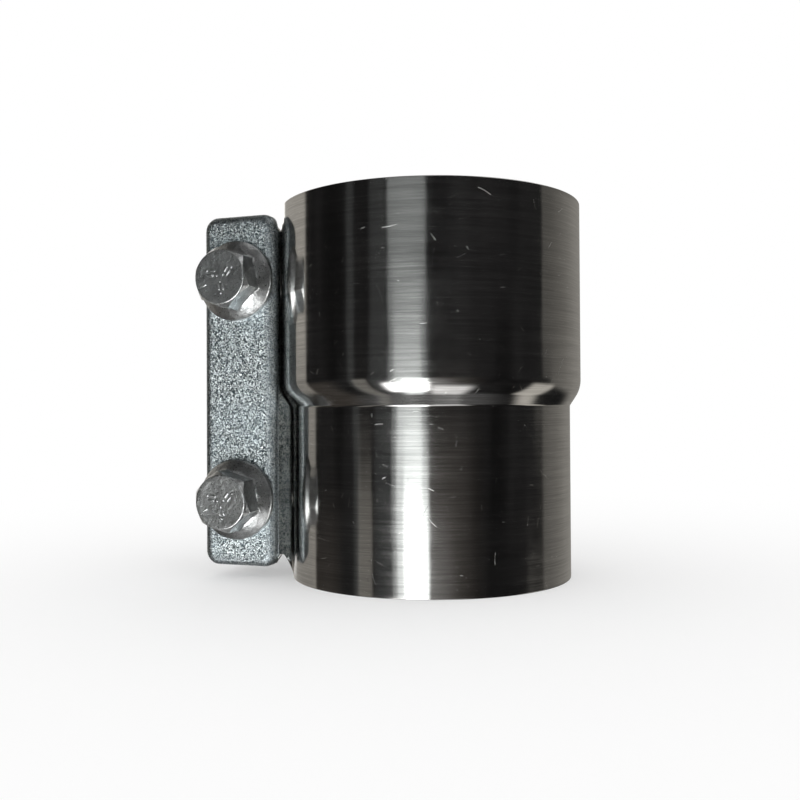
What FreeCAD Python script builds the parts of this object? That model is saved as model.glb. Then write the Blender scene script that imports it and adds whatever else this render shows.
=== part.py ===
import FreeCAD, Part
import math
import os

import Sketcher
from FreeCAD import Placement, Rotation, Vector

# Stepped two-bolt band clamp for a slip joint between two pipes, in millimetres.
# +Z runs along the band's axis from the small end (z = 0) to the large end, with the origin on
# that axis at the small end's rim. The gap of the band faces -X. The bolts run along Y, heads at -Y.

DRIVING_SIZES = {
    # band, a split sheet sleeve with a step half-way along
    "band_length": 104,
    "sheet_gauge": 1.2,
    "small_bore": 38.2,
    "large_bore": 41.2,
    "step_foot": 48,
    "step_shoulder": 52.6,
    "foot_round": 1.5,
    "shoulder_round": 8,
    "gap_half": 15.1,
    "flange_tip": 59.6,
    "root_bend": 2.5,
    "flange_trim": 3.4,
    "flange_corner": 3,
    "notch_height": 6.6,
    "notch_place": 39.3,
    "notch_slope": 0.7,
    "notch_round": 0.8,
    "notch_mouth": 1,
    "flange_hole": 6,
    # clamp bars, flat outside and crowned towards the sheet
    "bar_length": 98.6,
    "bar_width": 22,
    "bar_edge": 3.3,
    "bar_crown": 4.2,
    "bar_corner": 4,
    "bar_edge_round": 1,
    "bar_hole": 5.4,
    "bar_clear": 0.1,
    # bolts and nuts, M10 with a flange
    "bolt_line": 49.2,
    "bolt_middle": 52.6,
    "bolt_pitch": 61,
    "thread": 10,
    "bolt_length": 65,
    "bolt_point": 1.2,
    "head_height": 10.4,
    "hex_width": 15,
    "flange_width": 22.3,
    "flange_rim": 1.7,
    "flange_rise": 3.9,
    "flange_neck": 16.6,
    "hex_face": 14.4,
    "hex_chamfer": 1.4,
    "hex_turn": 18,
    "nut_height": 10,
    "nut_play": 0.05,
    "upper_nut_turn": 4,
    "lower_nut_turn": 23,
    # reaction block between the flanges
    "block_width": 23.8,
    "block_length": 90,
    "block_outer": 60.2,
    "block_core": 32,
    "hollow_half": 8.6,
    "hollow_depth": 2.2,
    "block_round": 1,
    "block_hole": 5.6,
    "block_play": 0.1,
    # thin strip that closes the gap from inside
    "strip_gauge": 0.5,
    "strip_play": 0.1,
    "strip_half": 15.5,
    "strip_end": 1,
    "strip_blank_angle": 60,
    "strip_blank_half": 30,
}

document = FreeCAD.newDocument("band_clamp")
sheet = document.addObject("Spreadsheet::Sheet", "Sizes")
for row, (alias, length) in enumerate(DRIVING_SIZES.items(), start=1):
    sheet.set(f"A{row}", alias)
    sheet.set(f"B{row}", str(length))
    sheet.setAlias(f"B{row}", alias)
document.recompute()


class Size:
    """A length: its value now, and the expression on the sheet that keeps it live."""

    def __init__(self, value, text):
        self.value = value
        self.text = text

    @staticmethod
    def of(other):
        return other if isinstance(other, Size) else Size(float(other), str(other))

    def joined(self, other, sign, value):
        return Size(value, f"({self.text} {sign} {Size.of(other).text})")

    def __add__(self, other):
        return self.joined(other, "+", self.value + Size.of(other).value)

    def __sub__(self, other):
        return self.joined(other, "-", self.value - Size.of(other).value)

    def __mul__(self, other):
        return self.joined(other, "*", self.value * Size.of(other).value)

    def __truediv__(self, other):
        return self.joined(other, "/", self.value / Size.of(other).value)

    def __neg__(self):
        return Size(-self.value, f"(0 - {self.text})")


def size(alias):
    """The sheet's size of that name."""
    return Size(float(sheet.get(alias)), f"Sizes.{alias}")


def square_root(length):
    return Size(math.sqrt(length.value), f"sqrt({length.text})")


ZERO = Size.of(0)
ONE = Size.of(1)


def bind(item, path, length):
    """Ties a property of a feature to the sheet."""
    item.setExpression(path, length.text)


# ---- sketches -----------------------------------------------------------------------------


def new_body(label):
    body = document.addObject("PartDesign::Body", label)
    body.Label = label
    return body


def origin_plane(body, role):
    return next(plane for plane in body.Origin.OriginFeatures if plane.Role == role)


def new_sketch(body, name, role, height=None):
    """A sketch on one of the body's own origin planes, lifted off it by height."""
    sketch = body.newObject("Sketcher::SketchObject", name)
    sketch.AttachmentSupport = (origin_plane(body, role), [""])
    sketch.MapMode = "FlatFace"
    if height is not None:
        bind(sketch, "AttachmentOffset.Base.z", height)
    document.recompute()
    return sketch


def dimension(sketch, kind, geometry, end, length):
    """Holds one coordinate of a point, or one radius, at a live size."""
    axis = {"DistanceX": -2, "DistanceY": -1}.get(kind)
    if axis is not None and abs(length.value) < 1e-9:
        sketch.addConstraint(Sketcher.Constraint("PointOnObject", geometry, end, axis))
        return
    if axis is not None:
        constraint = Sketcher.Constraint(kind, -1, 1, geometry, end, length.value)
    else:
        constraint = Sketcher.Constraint(kind, geometry, length.value)
    index = sketch.addConstraint(constraint)
    sketch.setExpression(f"Constraints[{index}]", length.text)


def arc_radius(half_chord, rise):
    """Radius of the arc that rises so far over half its chord."""
    return (half_chord * half_chord + rise * rise) / (rise * 2)


def add_edges(sketch, edges):
    """Joins edges (curve, start corner, radius or None) end to end into one closed outline."""
    sides = []
    for curve, start, radius in edges:
        side = sketch.addGeometry(curve, False)
        begin = Vector(start[0].value, start[1].value, 0)
        first = 1 if sketch.getPoint(side, 1).distanceToPoint(begin) < 1e-6 else 2
        sides.append((side, first, 3 - first))
    for index, (side, first, last) in enumerate(sides):
        after, after_first, _ = sides[(index + 1) % len(sides)]
        sketch.addConstraint(Sketcher.Constraint("Coincident", side, last, after, after_first))
    for (side, first, _), (_, start, radius) in zip(sides, edges):
        dimension(sketch, "DistanceX", side, first, start[0])
        dimension(sketch, "DistanceY", side, first, start[1])
        if radius is not None:
            dimension(sketch, "Radius", side, 0, radius)
    document.recompute()


def add_outline(sketch, corners):
    """Closed outline through corners (x, y). A corner (x, y, half_chord, rise, side) starts an arc
    that bows out to the left (side 1) or the right (side -1) of its chord."""
    edges = []
    for index, corner in enumerate(corners):
        following = corners[(index + 1) % len(corners)]
        start = Vector(corner[0].value, corner[1].value, 0)
        end = Vector(following[0].value, following[1].value, 0)
        if len(corner) == 2:
            edges.append((Part.LineSegment(start, end), corner, None))
            continue
        half_chord, rise, side = corner[2:]
        chord = (end - start).normalize()
        bow = Vector(-chord.y, chord.x, 0) * (rise.value * side)
        curve = Part.Arc(start, (start + end) * 0.5 + bow, end)
        edges.append((curve, corner, arc_radius(half_chord, rise)))
    add_edges(sketch, edges)


def add_circle(sketch, x, y, radius):
    circle = sketch.addGeometry(
        Part.Circle(Vector(x.value, y.value, 0), Vector(0, 0, 1), radius.value), False
    )
    dimension(sketch, "DistanceX", circle, 3, x)
    dimension(sketch, "DistanceY", circle, 3, y)
    dimension(sketch, "Radius", circle, 0, radius)
    document.recompute()


# ---- features -----------------------------------------------------------------------------


def pad(body, sketch, length):
    feature = body.newObject("PartDesign::Pad", f"{sketch.Name}_pad")
    feature.Profile = sketch
    bind(feature, "Length", length)
    document.recompute()
    return feature


def turned(body, kind, sketch, angle=None):
    """A revolution or groove about the body's Z axis."""
    feature = body.newObject(kind, f"{sketch.Name}_turn")
    feature.Profile = sketch
    feature.ReferenceAxis = (sketch, ["V_Axis"])
    feature.Angle = 360
    if angle is not None:
        feature.Midplane = True
        bind(feature, "Angle", angle)
    document.recompute()
    return feature


def check_cut(body, feature, before):
    """Stops the build if a cut took nothing away."""
    if not body.Shape.Volume < before - 1e-3:
        raise RuntimeError(f"{feature.Name} cuts nothing")


def through_pocket(body, sketch):
    """Cuts the sketch through everything, both ways."""
    before = body.Shape.Volume
    feature = body.newObject("PartDesign::Pocket", f"{sketch.Name}_cut")
    feature.Profile = sketch
    feature.Type = "ThroughAll"
    feature.Midplane = True
    document.recompute()
    check_cut(body, feature, before)


def groove(body, sketch):
    before = body.Shape.Volume
    feature = turned(body, "PartDesign::Groove", sketch)
    check_cut(body, feature, before)


def fillet(body, name, radius, wanted):
    """Rounds the edges of the body that wanted(edge) picks."""
    base = body.Tip
    names = [f"Edge{i}" for i, edge in enumerate(base.Shape.Edges, start=1) if wanted(edge)]
    if not names:
        raise RuntimeError(f"{name} finds no edge")
    feature = body.newObject("PartDesign::Fillet", name)
    feature.Base = (base, names)
    bind(feature, "Radius", radius)
    document.recompute()


def near(first, second, slack=1e-3):
    return abs(first - second) < slack


# ---- sheet band ---------------------------------------------------------------------------


def step_run():
    """How far the step climbs, how far it spreads, and the length of its slope."""
    climb = size("step_shoulder") - size("step_foot")
    spread = size("large_bore") - size("small_bore")
    return climb, spread, square_root(climb * climb + spread * spread)


def step_levels():
    """Heights through the rounded step, each with the bore there."""
    climb, spread, slope = step_run()
    half_turn = (slope - climb) / spread
    foot_round = size("foot_round")
    foot_start = size("step_foot") - foot_round * half_turn
    foot_reach = foot_round * spread / slope
    shoulder_round = size("shoulder_round")
    shoulder_end = size("step_shoulder") + shoulder_round * half_turn
    shoulder_reach = shoulder_round * spread / slope
    levels = []
    for share in (0, 0.5, 1):
        rise = foot_reach * share
        bore = size("small_bore") + foot_round - square_root(foot_round * foot_round - rise * rise)
        levels.append((foot_start + rise, bore))
    for share in (1, 0.75, 0.5, 0.25, 0):
        drop = shoulder_reach * share
        sag = shoulder_round - square_root(shoulder_round * shoulder_round - drop * drop)
        levels.append((shoulder_end - drop, size("large_bore") - sag))
    return levels


def sheet_side(bore, bend, flat):
    """One face of the sheet from a flange's tip to the band's far side: the points where its
    straight, its root bend and its round stretch meet, and a point half-way along each bend."""
    reach = bore + bend
    depth = flat + bend
    centre = -square_root(reach * reach - depth * depth)
    leaves = (centre * bore / reach, -depth * bore / reach)
    lean = math.atan2(depth.value, -centre.value) / 2 + math.pi / 4
    middle = Vector(
        centre.value + bend.value * math.cos(lean),
        -depth.value + bend.value * math.sin(lean),
        0,
    )
    return (-size("flange_tip"), -flat), (centre, -flat), middle, leaves


def add_sheet_section(sketch, bore):
    """The sheet cut across the band's axis: a split ring with two flanges turned out."""
    gauge = size("sheet_gauge")
    bend = size("root_bend")
    flat = size("gap_half")
    edges = []

    def across(pair):
        return (pair[0], -pair[1])

    def spot(pair):
        return Vector(pair[0].value, pair[1].value, 0)

    def line(start, end):
        edges.append((Part.LineSegment(spot(start), spot(end)), start, None))

    def arc(start, middle, end, radius):
        edges.append((Part.Arc(spot(start), middle, spot(end)), start, radius))

    tip, flat_end, middle, leaves = sheet_side(bore + gauge, bend, flat + gauge)
    far = Vector((bore + gauge).value, 0, 0)
    line(tip, flat_end)
    arc(flat_end, middle, leaves, bend)
    arc(leaves, far, across(leaves), bore + gauge)
    arc(across(leaves), Vector(middle.x, -middle.y, 0), across(flat_end), bend)
    line(across(flat_end), across(tip))
    outer_tip = across(tip)
    tip_outside = tip

    tip, flat_end, middle, leaves = sheet_side(bore, bend + gauge, flat)
    far = Vector(bore.value, 0, 0)
    line(outer_tip, across(tip))
    line(across(tip), across(flat_end))
    arc(across(flat_end), Vector(middle.x, -middle.y, 0), across(leaves), bend + gauge)
    arc(across(leaves), far, leaves, bore)
    arc(leaves, middle, flat_end, bend + gauge)
    line(flat_end, tip)
    line(tip, tip_outside)
    add_edges(sketch, edges)


def make_band():
    """The split sleeve: a stepped tube of sheet whose ends turn out into two flanges."""
    body = new_body("clamp_band")
    levels = step_levels()
    length = size("band_length")

    def section(name, height, bore):
        sketch = new_sketch(body, name, "XY_Plane", height)
        add_sheet_section(sketch, bore)
        return sketch

    pad(body, section("small_end", ZERO, size("small_bore")), levels[0][0])
    cuts = [
        section(f"step_section_{number}", height, bore)
        for number, (height, bore) in enumerate(levels, start=1)
    ]
    loft = body.newObject("PartDesign::AdditiveLoft", "step")
    loft.Profile = cuts[0]
    loft.Sections = [(cut, [""]) for cut in cuts[1:]]
    document.recompute()
    top = levels[-1][0]
    pad(body, section("large_end", top, size("large_bore")), length - top)

    # each flange is a little shorter than the band, with a notch at its root
    tip = -size("flange_tip") - 1
    place = -size("notch_place")
    height = size("notch_height")
    trim = size("flange_trim")
    slope = size("notch_slope")
    mouth = size("notch_mouth")
    notch = [
        (tip, -mouth),
        (tip, trim),
        (place - (height - trim) * slope, trim),
        (place, height),
        (place + (height + mouth) * slope, -mouth),
    ]
    low = new_sketch(body, "low_notch", "XZ_Plane")
    add_outline(low, notch)
    through_pocket(body, low)
    high = new_sketch(body, "high_notch", "XZ_Plane")
    add_outline(high, [(x, length - z) for x, z in notch])
    through_pocket(body, high)

    def notch_apex(edge):
        box = edge.BoundBox
        level = near(box.ZMin, height.value) or near(box.ZMin, (length - height).value)
        return level and box.YLength > 0.5 and box.XLength < 0.01

    fillet(body, "notch_rounds", size("notch_round"), notch_apex)

    def flange_corner(edge):
        box = edge.BoundBox
        at_tip = near(box.XMin, -size("flange_tip").value) and box.XLength < 0.01
        ends = (trim.value, (length - trim).value)
        return at_tip and box.YLength > 0.5 and any(near(box.ZMin, end) for end in ends)

    fillet(body, "flange_corners", size("flange_corner"), flange_corner)
    bolt_holes(body, "flange_holes", size("flange_hole"), -size("bolt_line"), ZERO)
    return body


# ---- bars, block and strip ----------------------------------------------------------------


def bolt_heights():
    """The two bolts' heights, upper first."""
    reach = size("bolt_pitch") / 2
    return size("bolt_middle") + reach, size("bolt_middle") - reach


def bolt_holes(body, name, radius, x, base):
    """Two holes along Y at the bolts' places, in a body whose origin lies at height base."""
    sketch = new_sketch(body, name, "XZ_Plane")
    for height in bolt_heights():
        add_circle(sketch, x, height - base, radius)
    through_pocket(body, sketch)


def place(body, outwards, height, turned_by):
    """Puts a body's origin on the bolts' line, at the outer face of one of the bars."""
    bar = size("bar_edge") + size("bar_crown") + size("bar_clear")
    face = size("gap_half") + size("sheet_gauge") + bar
    body.Placement = Placement(Vector(), turned_by)
    bind(body, "Placement.Base.x", -size("bolt_line"))
    bind(body, "Placement.Base.y", face * outwards)
    bind(body, "Placement.Base.z", height)


def make_bar(label, outwards):
    """A clamp bar of D section: flat outside, crowned inside, with rounded corners."""
    body = new_body(label)
    half = size("bar_width") / 2
    length = size("bar_length")
    edge = size("bar_edge")
    base = size("bolt_middle") - length / 2

    section = new_sketch(body, f"{label}_section", "XY_Plane")
    crown = (half, edge, half, size("bar_crown"), -1)
    add_outline(section, [(-half, ZERO), (half, ZERO), crown, (-half, edge)])
    pad(body, section, length)

    # everything outside the rounded outline goes
    corner = size("bar_corner")
    diagonal = math.sqrt(0.5)
    quarter = (corner * diagonal, corner * (1 - diagonal), -1)
    margin = size("bar_edge")
    far = half + margin
    trim = new_sketch(body, f"{label}_outline", "XZ_Plane")
    add_outline(
        trim,
        [(-far, -margin), (far, -margin), (far, length + margin), (-far, length + margin)],
    )
    add_outline(
        trim,
        [
            (half - corner, ZERO, *quarter),
            (half, corner),
            (half, length - corner, *quarter),
            (half - corner, length),
            (corner - half, length, *quarter),
            (-half, length - corner),
            (-half, corner, *quarter),
            (corner - half, ZERO),
        ],
    )
    through_pocket(body, trim)
    fillet(body, f"{label}_rounds", size("bar_edge_round"), lambda e: near(e.BoundBox.YMax, 0))
    bolt_holes(body, f"{label}_holes", size("bar_hole"), ZERO, base)
    place(body, outwards, base, Rotation(Vector(0, 0, 1), 0 if outwards < 0 else 180))
    return body


def make_block():
    """The reaction block: fills the gap between the flanges, hollowed to take the bars' crowns."""
    body = new_body("reaction_block")
    half = size("block_width") / 2
    outer = -size("block_outer")
    line = -size("bolt_line")
    reach = size("hollow_half")
    inner = -size("block_core")
    base = (size("band_length") - size("block_length")) / 2

    section = new_sketch(body, "block_section", "XY_Plane", base)
    hollow = (reach, size("hollow_depth"), 1)
    add_outline(
        section,
        [
            (outer, -half),
            (line - reach, -half, *hollow),
            (line + reach, -half),
            (inner, -half),
            (inner, half),
            (line + reach, half, *hollow),
            (line - reach, half),
            (outer, half),
        ],
    )
    pad(body, section, size("block_length"))

    def outer_edge(edge):
        box = edge.BoundBox
        return near(box.XMin, outer.value) and box.XLength < 0.01 and box.ZLength > 1

    fillet(body, "block_rounds", size("block_round"), outer_edge)

    # the face towards the pipes follows the strip
    seat = size("strip_play") + size("strip_gauge") + size("block_play")
    cutter = new_sketch(body, "block_seat", "XZ_Plane")
    height = size("band_length")
    add_outline(cutter, [(ZERO, -ONE), *stepped(seat, -ONE, height), (ZERO, height)])
    groove(body, cutter)
    bolt_holes(body, "block_holes", size("block_hole"), line, ZERO)
    return body


def stepped(offset, bottom, top):
    """Corners of the stepped bore moved outwards by offset, on the -X side, bottom to top."""
    start = (-(size("small_bore") + offset), bottom)
    step = [(-(bore + offset), height) for height, bore in step_levels()]
    end = (-(size("large_bore") + offset), top)
    return [start, *step, end]


def make_strip():
    """The thin stepped strip that bridges the gap inside the band."""
    body = new_body("seal_strip")
    end = size("strip_end")
    top = size("band_length") - end
    inside = stepped(size("strip_play"), end, top)
    outside = stepped(size("strip_play") + size("strip_gauge"), end, top)
    profile = new_sketch(body, "strip_profile", "XZ_Plane")
    add_outline(profile, inside + outside[::-1])
    turned(body, "PartDesign::Revolution", profile, size("strip_blank_angle"))

    # the blank's two edges are cut straight, as wide as the room behind the root bends
    half = size("strip_half")
    sides = new_sketch(body, "strip_sides", "XY_Plane")
    outer = -size("block_outer")
    far = size("strip_blank_half")
    for side in (1, -1):
        add_outline(
            sides,
            [(outer, half * side), (ZERO, half * side), (ZERO, far * side), (outer, far * side)],
        )
    through_pocket(body, sides)
    return body


# ---- bolts and nuts -----------------------------------------------------------------------


def add_hexagon(sketch):
    """A hexagon of the wrench size with one corner on +X."""
    corner = size("hex_width") / math.sqrt(3)
    spread = size("hex_width") / 2
    add_outline(
        sketch,
        [
            (corner, ZERO),
            (corner / 2, spread),
            (-corner / 2, spread),
            (-corner, ZERO),
            (-corner / 2, -spread),
            (corner / 2, -spread),
        ],
    )


def hex_pad(body, name, height, side):
    sketch = new_sketch(body, name, "XY_Plane")
    add_hexagon(sketch)
    feature = pad(body, sketch, height)
    feature.Reversed = side < 0
    document.recompute()
    # the corners of the free face are turned off
    face = size("hex_face") / 2
    rim = size("hex_width") / math.sqrt(3) + ONE
    free = height * side
    cutter = new_sketch(body, f"{name}_chamfer", "XZ_Plane")
    add_outline(cutter, [(face, free), (rim, free), (rim, free - size("hex_chamfer") * side)])
    groove(body, cutter)


def flange_profile(side):
    """Corners of the conical flange above its bearing face, outside in."""
    rim = size("flange_width") / 2
    return [
        (rim, ZERO),
        (rim, size("flange_rim") * side),
        (size("flange_neck") / 2, size("flange_rise") * side),
    ]


def along_bolts(turn):
    """Lays a body's Z axis along +Y, after turning the body about it."""
    return Rotation(Vector(1, 0, 0), -90) * Rotation(Vector(0, 0, 1), turn)


def make_bolt(label, height):
    """A flanged hexagon bolt: the bearing face at its origin, the shank along +Z."""
    body = new_body(label)
    shank = size("thread") / 2
    length = size("bolt_length")
    point = size("bolt_point")
    profile = new_sketch(body, f"{label}_profile", "XZ_Plane")
    add_outline(
        profile,
        [
            (ZERO, length),
            (ZERO, -size("flange_rise")),
            *flange_profile(-1)[::-1],
            (shank, ZERO),
            (shank, length - point),
            (shank - point, length),
        ],
    )
    turned(body, "PartDesign::Revolution", profile)
    hex_pad(body, f"{label}_hex", size("head_height"), -1)
    place(body, -1, height, along_bolts(size("hex_turn").value))
    return body


def make_nut(label, height, turn):
    """A flanged hexagon nut: the bearing face at its origin, the nut along +Z."""
    body = new_body(label)
    bore = size("thread") / 2 + size("nut_play")
    profile = new_sketch(body, f"{label}_profile", "XZ_Plane")
    rise = size("flange_rise")
    add_outline(profile, [(ZERO, ZERO), *flange_profile(1), (ZERO, rise)])
    turned(body, "PartDesign::Revolution", profile)
    hex_pad(body, f"{label}_hex", size("nut_height"), 1)
    hole = new_sketch(body, f"{label}_bore", "XY_Plane")
    add_circle(hole, ZERO, ZERO, bore)
    through_pocket(body, hole)
    place(body, 1, height, along_bolts(turn))
    return body


# ---- the assembly -------------------------------------------------------------------------


def check(body):
    """Stops the build on a failed feature or a broken solid."""
    shape = body.Shape
    if shape.isNull() or not shape.isValid() or len(shape.Solids) != 1:
        raise RuntimeError(f"{body.Label} has no sound solid")


def main():
    upper, lower = bolt_heights()
    sub_parts = [
        make_band(),
        make_block(),
        make_strip(),
        make_bar("bolt_side_bar", -1),
        make_bar("nut_side_bar", 1),
        make_bolt("upper_bolt", upper),
        make_bolt("lower_bolt", lower),
        make_nut("upper_nut", upper, size("upper_nut_turn").value),
        make_nut("lower_nut", lower, size("lower_nut_turn").value),
    ]
    document.recompute()
    for item in document.Objects:
        if "Invalid" in item.State or "Error" in item.State:
            raise RuntimeError(f"{item.Name} failed: {item.State}")
    for body in sub_parts:
        check(body)
    os.makedirs("parts", exist_ok=True)
    for body in sub_parts:
        body.Shape.exportStep(f"parts/{body.Label}.step")
        print(f"{body.Label}: {body.Shape.Volume:.0f} mm3")


main()
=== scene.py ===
"""Visual model of a stepped two-bolt band clamp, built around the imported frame.

Lengths are in metres.
"""

import math

import bmesh
import bpy
from mathutils import Matrix, Vector
from mathutils.geometry import delaunay_2d_cdt


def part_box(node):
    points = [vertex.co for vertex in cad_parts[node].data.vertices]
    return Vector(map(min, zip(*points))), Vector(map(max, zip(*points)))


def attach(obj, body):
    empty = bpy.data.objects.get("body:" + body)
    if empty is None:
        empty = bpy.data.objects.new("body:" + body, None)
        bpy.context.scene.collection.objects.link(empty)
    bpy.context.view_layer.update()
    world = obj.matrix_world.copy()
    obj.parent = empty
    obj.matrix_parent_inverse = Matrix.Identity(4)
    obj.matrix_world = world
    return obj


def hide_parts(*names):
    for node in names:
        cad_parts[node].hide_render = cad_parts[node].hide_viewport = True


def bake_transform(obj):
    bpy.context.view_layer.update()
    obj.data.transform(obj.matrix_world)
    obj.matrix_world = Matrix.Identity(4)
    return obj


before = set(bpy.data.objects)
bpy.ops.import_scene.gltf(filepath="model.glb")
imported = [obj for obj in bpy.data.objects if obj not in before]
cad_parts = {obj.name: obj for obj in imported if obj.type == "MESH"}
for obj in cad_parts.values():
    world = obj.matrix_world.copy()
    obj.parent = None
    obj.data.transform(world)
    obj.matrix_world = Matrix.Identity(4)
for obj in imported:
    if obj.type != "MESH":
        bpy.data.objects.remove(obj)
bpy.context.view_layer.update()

MM = 0.001
PER_METRE = 1000
TURN = 2 * math.pi

# ---- sizes that the frame's boxes don't give ----

GAUGE = 1.2 * MM
SMALL_BORE = 38.2 * MM
LARGE_BORE = 41.2 * MM
STEP_FOOT = 48 * MM
STEP_SHOULDER = 52.6 * MM
FOOT_ROUND = 1.5 * MM
SHOULDER_ROUND = 8 * MM
GAP_HALF = 15.1 * MM
ROOT_BEND = 2.5 * MM
FLANGE_TRIM = 3.4 * MM
FLANGE_CORNER = 3 * MM
NOTCH_HEIGHT = 6.6 * MM
NOTCH_PLACE = -39.3 * MM
NOTCH_SLOPE = 0.7
NOTCH_ROUND = 0.8 * MM
FLANGE_HOLE = 6 * MM
SHEET_ROUND = 0.22 * MM
STRIP_GAUGE = 0.5 * MM
STRIP_PLAY = 0.1 * MM
STRIP_ROUND = 0.1 * MM
BAR_EDGE = 3.3 * MM
BAR_CORNER = 4 * MM
BAR_HOLE = 5.4 * MM
BAR_ROUND = 2.4 * MM
BAR_BACK_ROUND = 0.25 * MM
SHANK = 5 * MM
PITCH = 1.5 * MM
THREAD_DEPTH = 0.92 * MM
THREAD_LENGTH = 26 * MM
THREAD_RUNOUT = 2 * PITCH
THREAD_PLAY = 0.05 * MM
POINT = 1.2 * MM
HEX_HALF = 7.5 * MM
HEX_FACE = 7.4 * MM
HEX_CHAMFER = 1.2
HEX_ROUND = 0.5 * MM
HEX_ROUND_AT = (HEX_HALF * 2 - HEX_ROUND * 2) / math.sqrt(3)
HEAD_HEIGHT = 10.4 * MM
NUT_HEIGHT = 10 * MM
NUT_MOUTH = SHANK + 0.45 * MM
NUT_SINK = 0.8 * MM
FLANGE_RADIUS = 11.15 * MM
FLANGE_RIM = 1.7 * MM
FLANGE_RISE = 3.9 * MM
FLANGE_NECK = 8.3 * MM
HEAD_TURN = 18
NUT_TURNS = {"upper_nut": 4, "lower_nut": 23}
MARK_HEIGHT = HEAD_HEIGHT - 0.095 * MM
BLOCK_EDGE = 0.3 * MM

BAND_LOW, BAND_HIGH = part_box("clamp_band")
LENGTH = BAND_HIGH.z
FLANGE_TIP = BAND_LOW.x


def middle_of(node):
    low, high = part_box(node)
    return (low + high) / 2


BOLT_LINE = middle_of("upper_bolt").x
BOLT_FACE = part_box("bolt_side_bar")[0].y
NUT_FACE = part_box("nut_side_bar")[1].y
BOLT_HEIGHTS = [middle_of(node).z for node in ("upper_bolt", "lower_bolt")]

# How finely the meshes are drawn.
ROUND_STEPS = 4
SLOPE_STEP = 0.01 * MM
WELD = 0.002 * MM
ON_SEAM = 1e-7
END_ZONE = 10 * MM
BEND_COLUMNS = 14
MOUTH_COLUMNS = 8
RING_COLUMNS = 72
STRIP_STEPS = 14
FLANGE_GRID = (2.4 * MM, 3 * MM)
FLANGE_CLEAR = 1.1 * MM
BAR_GRID = (1.1 * MM, 2.4 * MM)
BAR_CLEAR = 3 * MM

# ---- meshes ----


class Patch:
    """Points welded by place, each with a normal and its lay (u, v) on the sheet, and the faces."""

    def __init__(self):
        self.points = []
        self.normals = []
        self.lays = []
        self.faces = []
        self.index = {}

    def point(self, place, normal=(0, 0, 1), lay=(0, 0)):
        key = tuple(round(value, 7) for value in place)
        if key not in self.index:
            self.index[key] = len(self.points)
            self.points.append(Vector(place))
            self.normals.append(Vector(normal))
            self.lays.append(tuple(lay))
        return self.index[key]

    def face(self, corners):
        corners = list(dict.fromkeys(corners))
        if len(corners) > 2:
            self.faces.append(corners)

    def bridge(self, rows):
        """Faces between neighbouring rows of point numbers."""
        for lower, upper in zip(rows, rows[1:]):
            for step in range(len(lower) - 1):
                self.face([lower[step], upper[step], upper[step + 1], lower[step + 1]])

    def mirrored(self):
        """The same patch on the other side of the Y = 0 plane."""
        other = Patch()
        flip = Vector((1, -1, 1))
        other.points = [point * flip for point in self.points]
        other.normals = [normal * flip for normal in self.normals]
        other.lays = [(-along, up) for along, up in self.lays]
        other.faces = [face[::-1] for face in self.faces]
        return other


def make_object(name, points, faces, material):
    mesh = bpy.data.meshes.new(name)
    mesh.from_pydata([tuple(point) for point in points], [], faces)
    mesh.polygons.foreach_set("use_smooth", [True] * len(mesh.polygons))
    mesh.materials.append(material)
    piece = bpy.data.objects.new(name, mesh)
    bpy.context.scene.collection.objects.link(piece)
    return piece


def edge_sides(patch, seam):
    """The patch's open sides, and at each point of them the way out along the sheet."""
    sides = {(a, b) for face in patch.faces for a, b in zip(face, face[1:] + face[:1])}
    edge = []
    ways = {}
    for face in patch.faces:
        for a, b in zip(face, face[1:] + face[:1]):
            if (b, a) in sides:
                continue
            edge.append((a, b))
            if a in seam and b in seam:
                continue
            normal = patch.normals[a] + patch.normals[b]
            out = (patch.points[b] - patch.points[a]).cross(normal).normalized()
            for corner in (a, b):
                ways.setdefault(corner, []).append(out)
    outward = {}
    for corner, found in ways.items():
        way = sum(found, Vector()).normalized()
        mitre = max(0.5, way.dot(found[0]))
        outward[corner] = (way, 1 / mitre)
    return edge, outward


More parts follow.
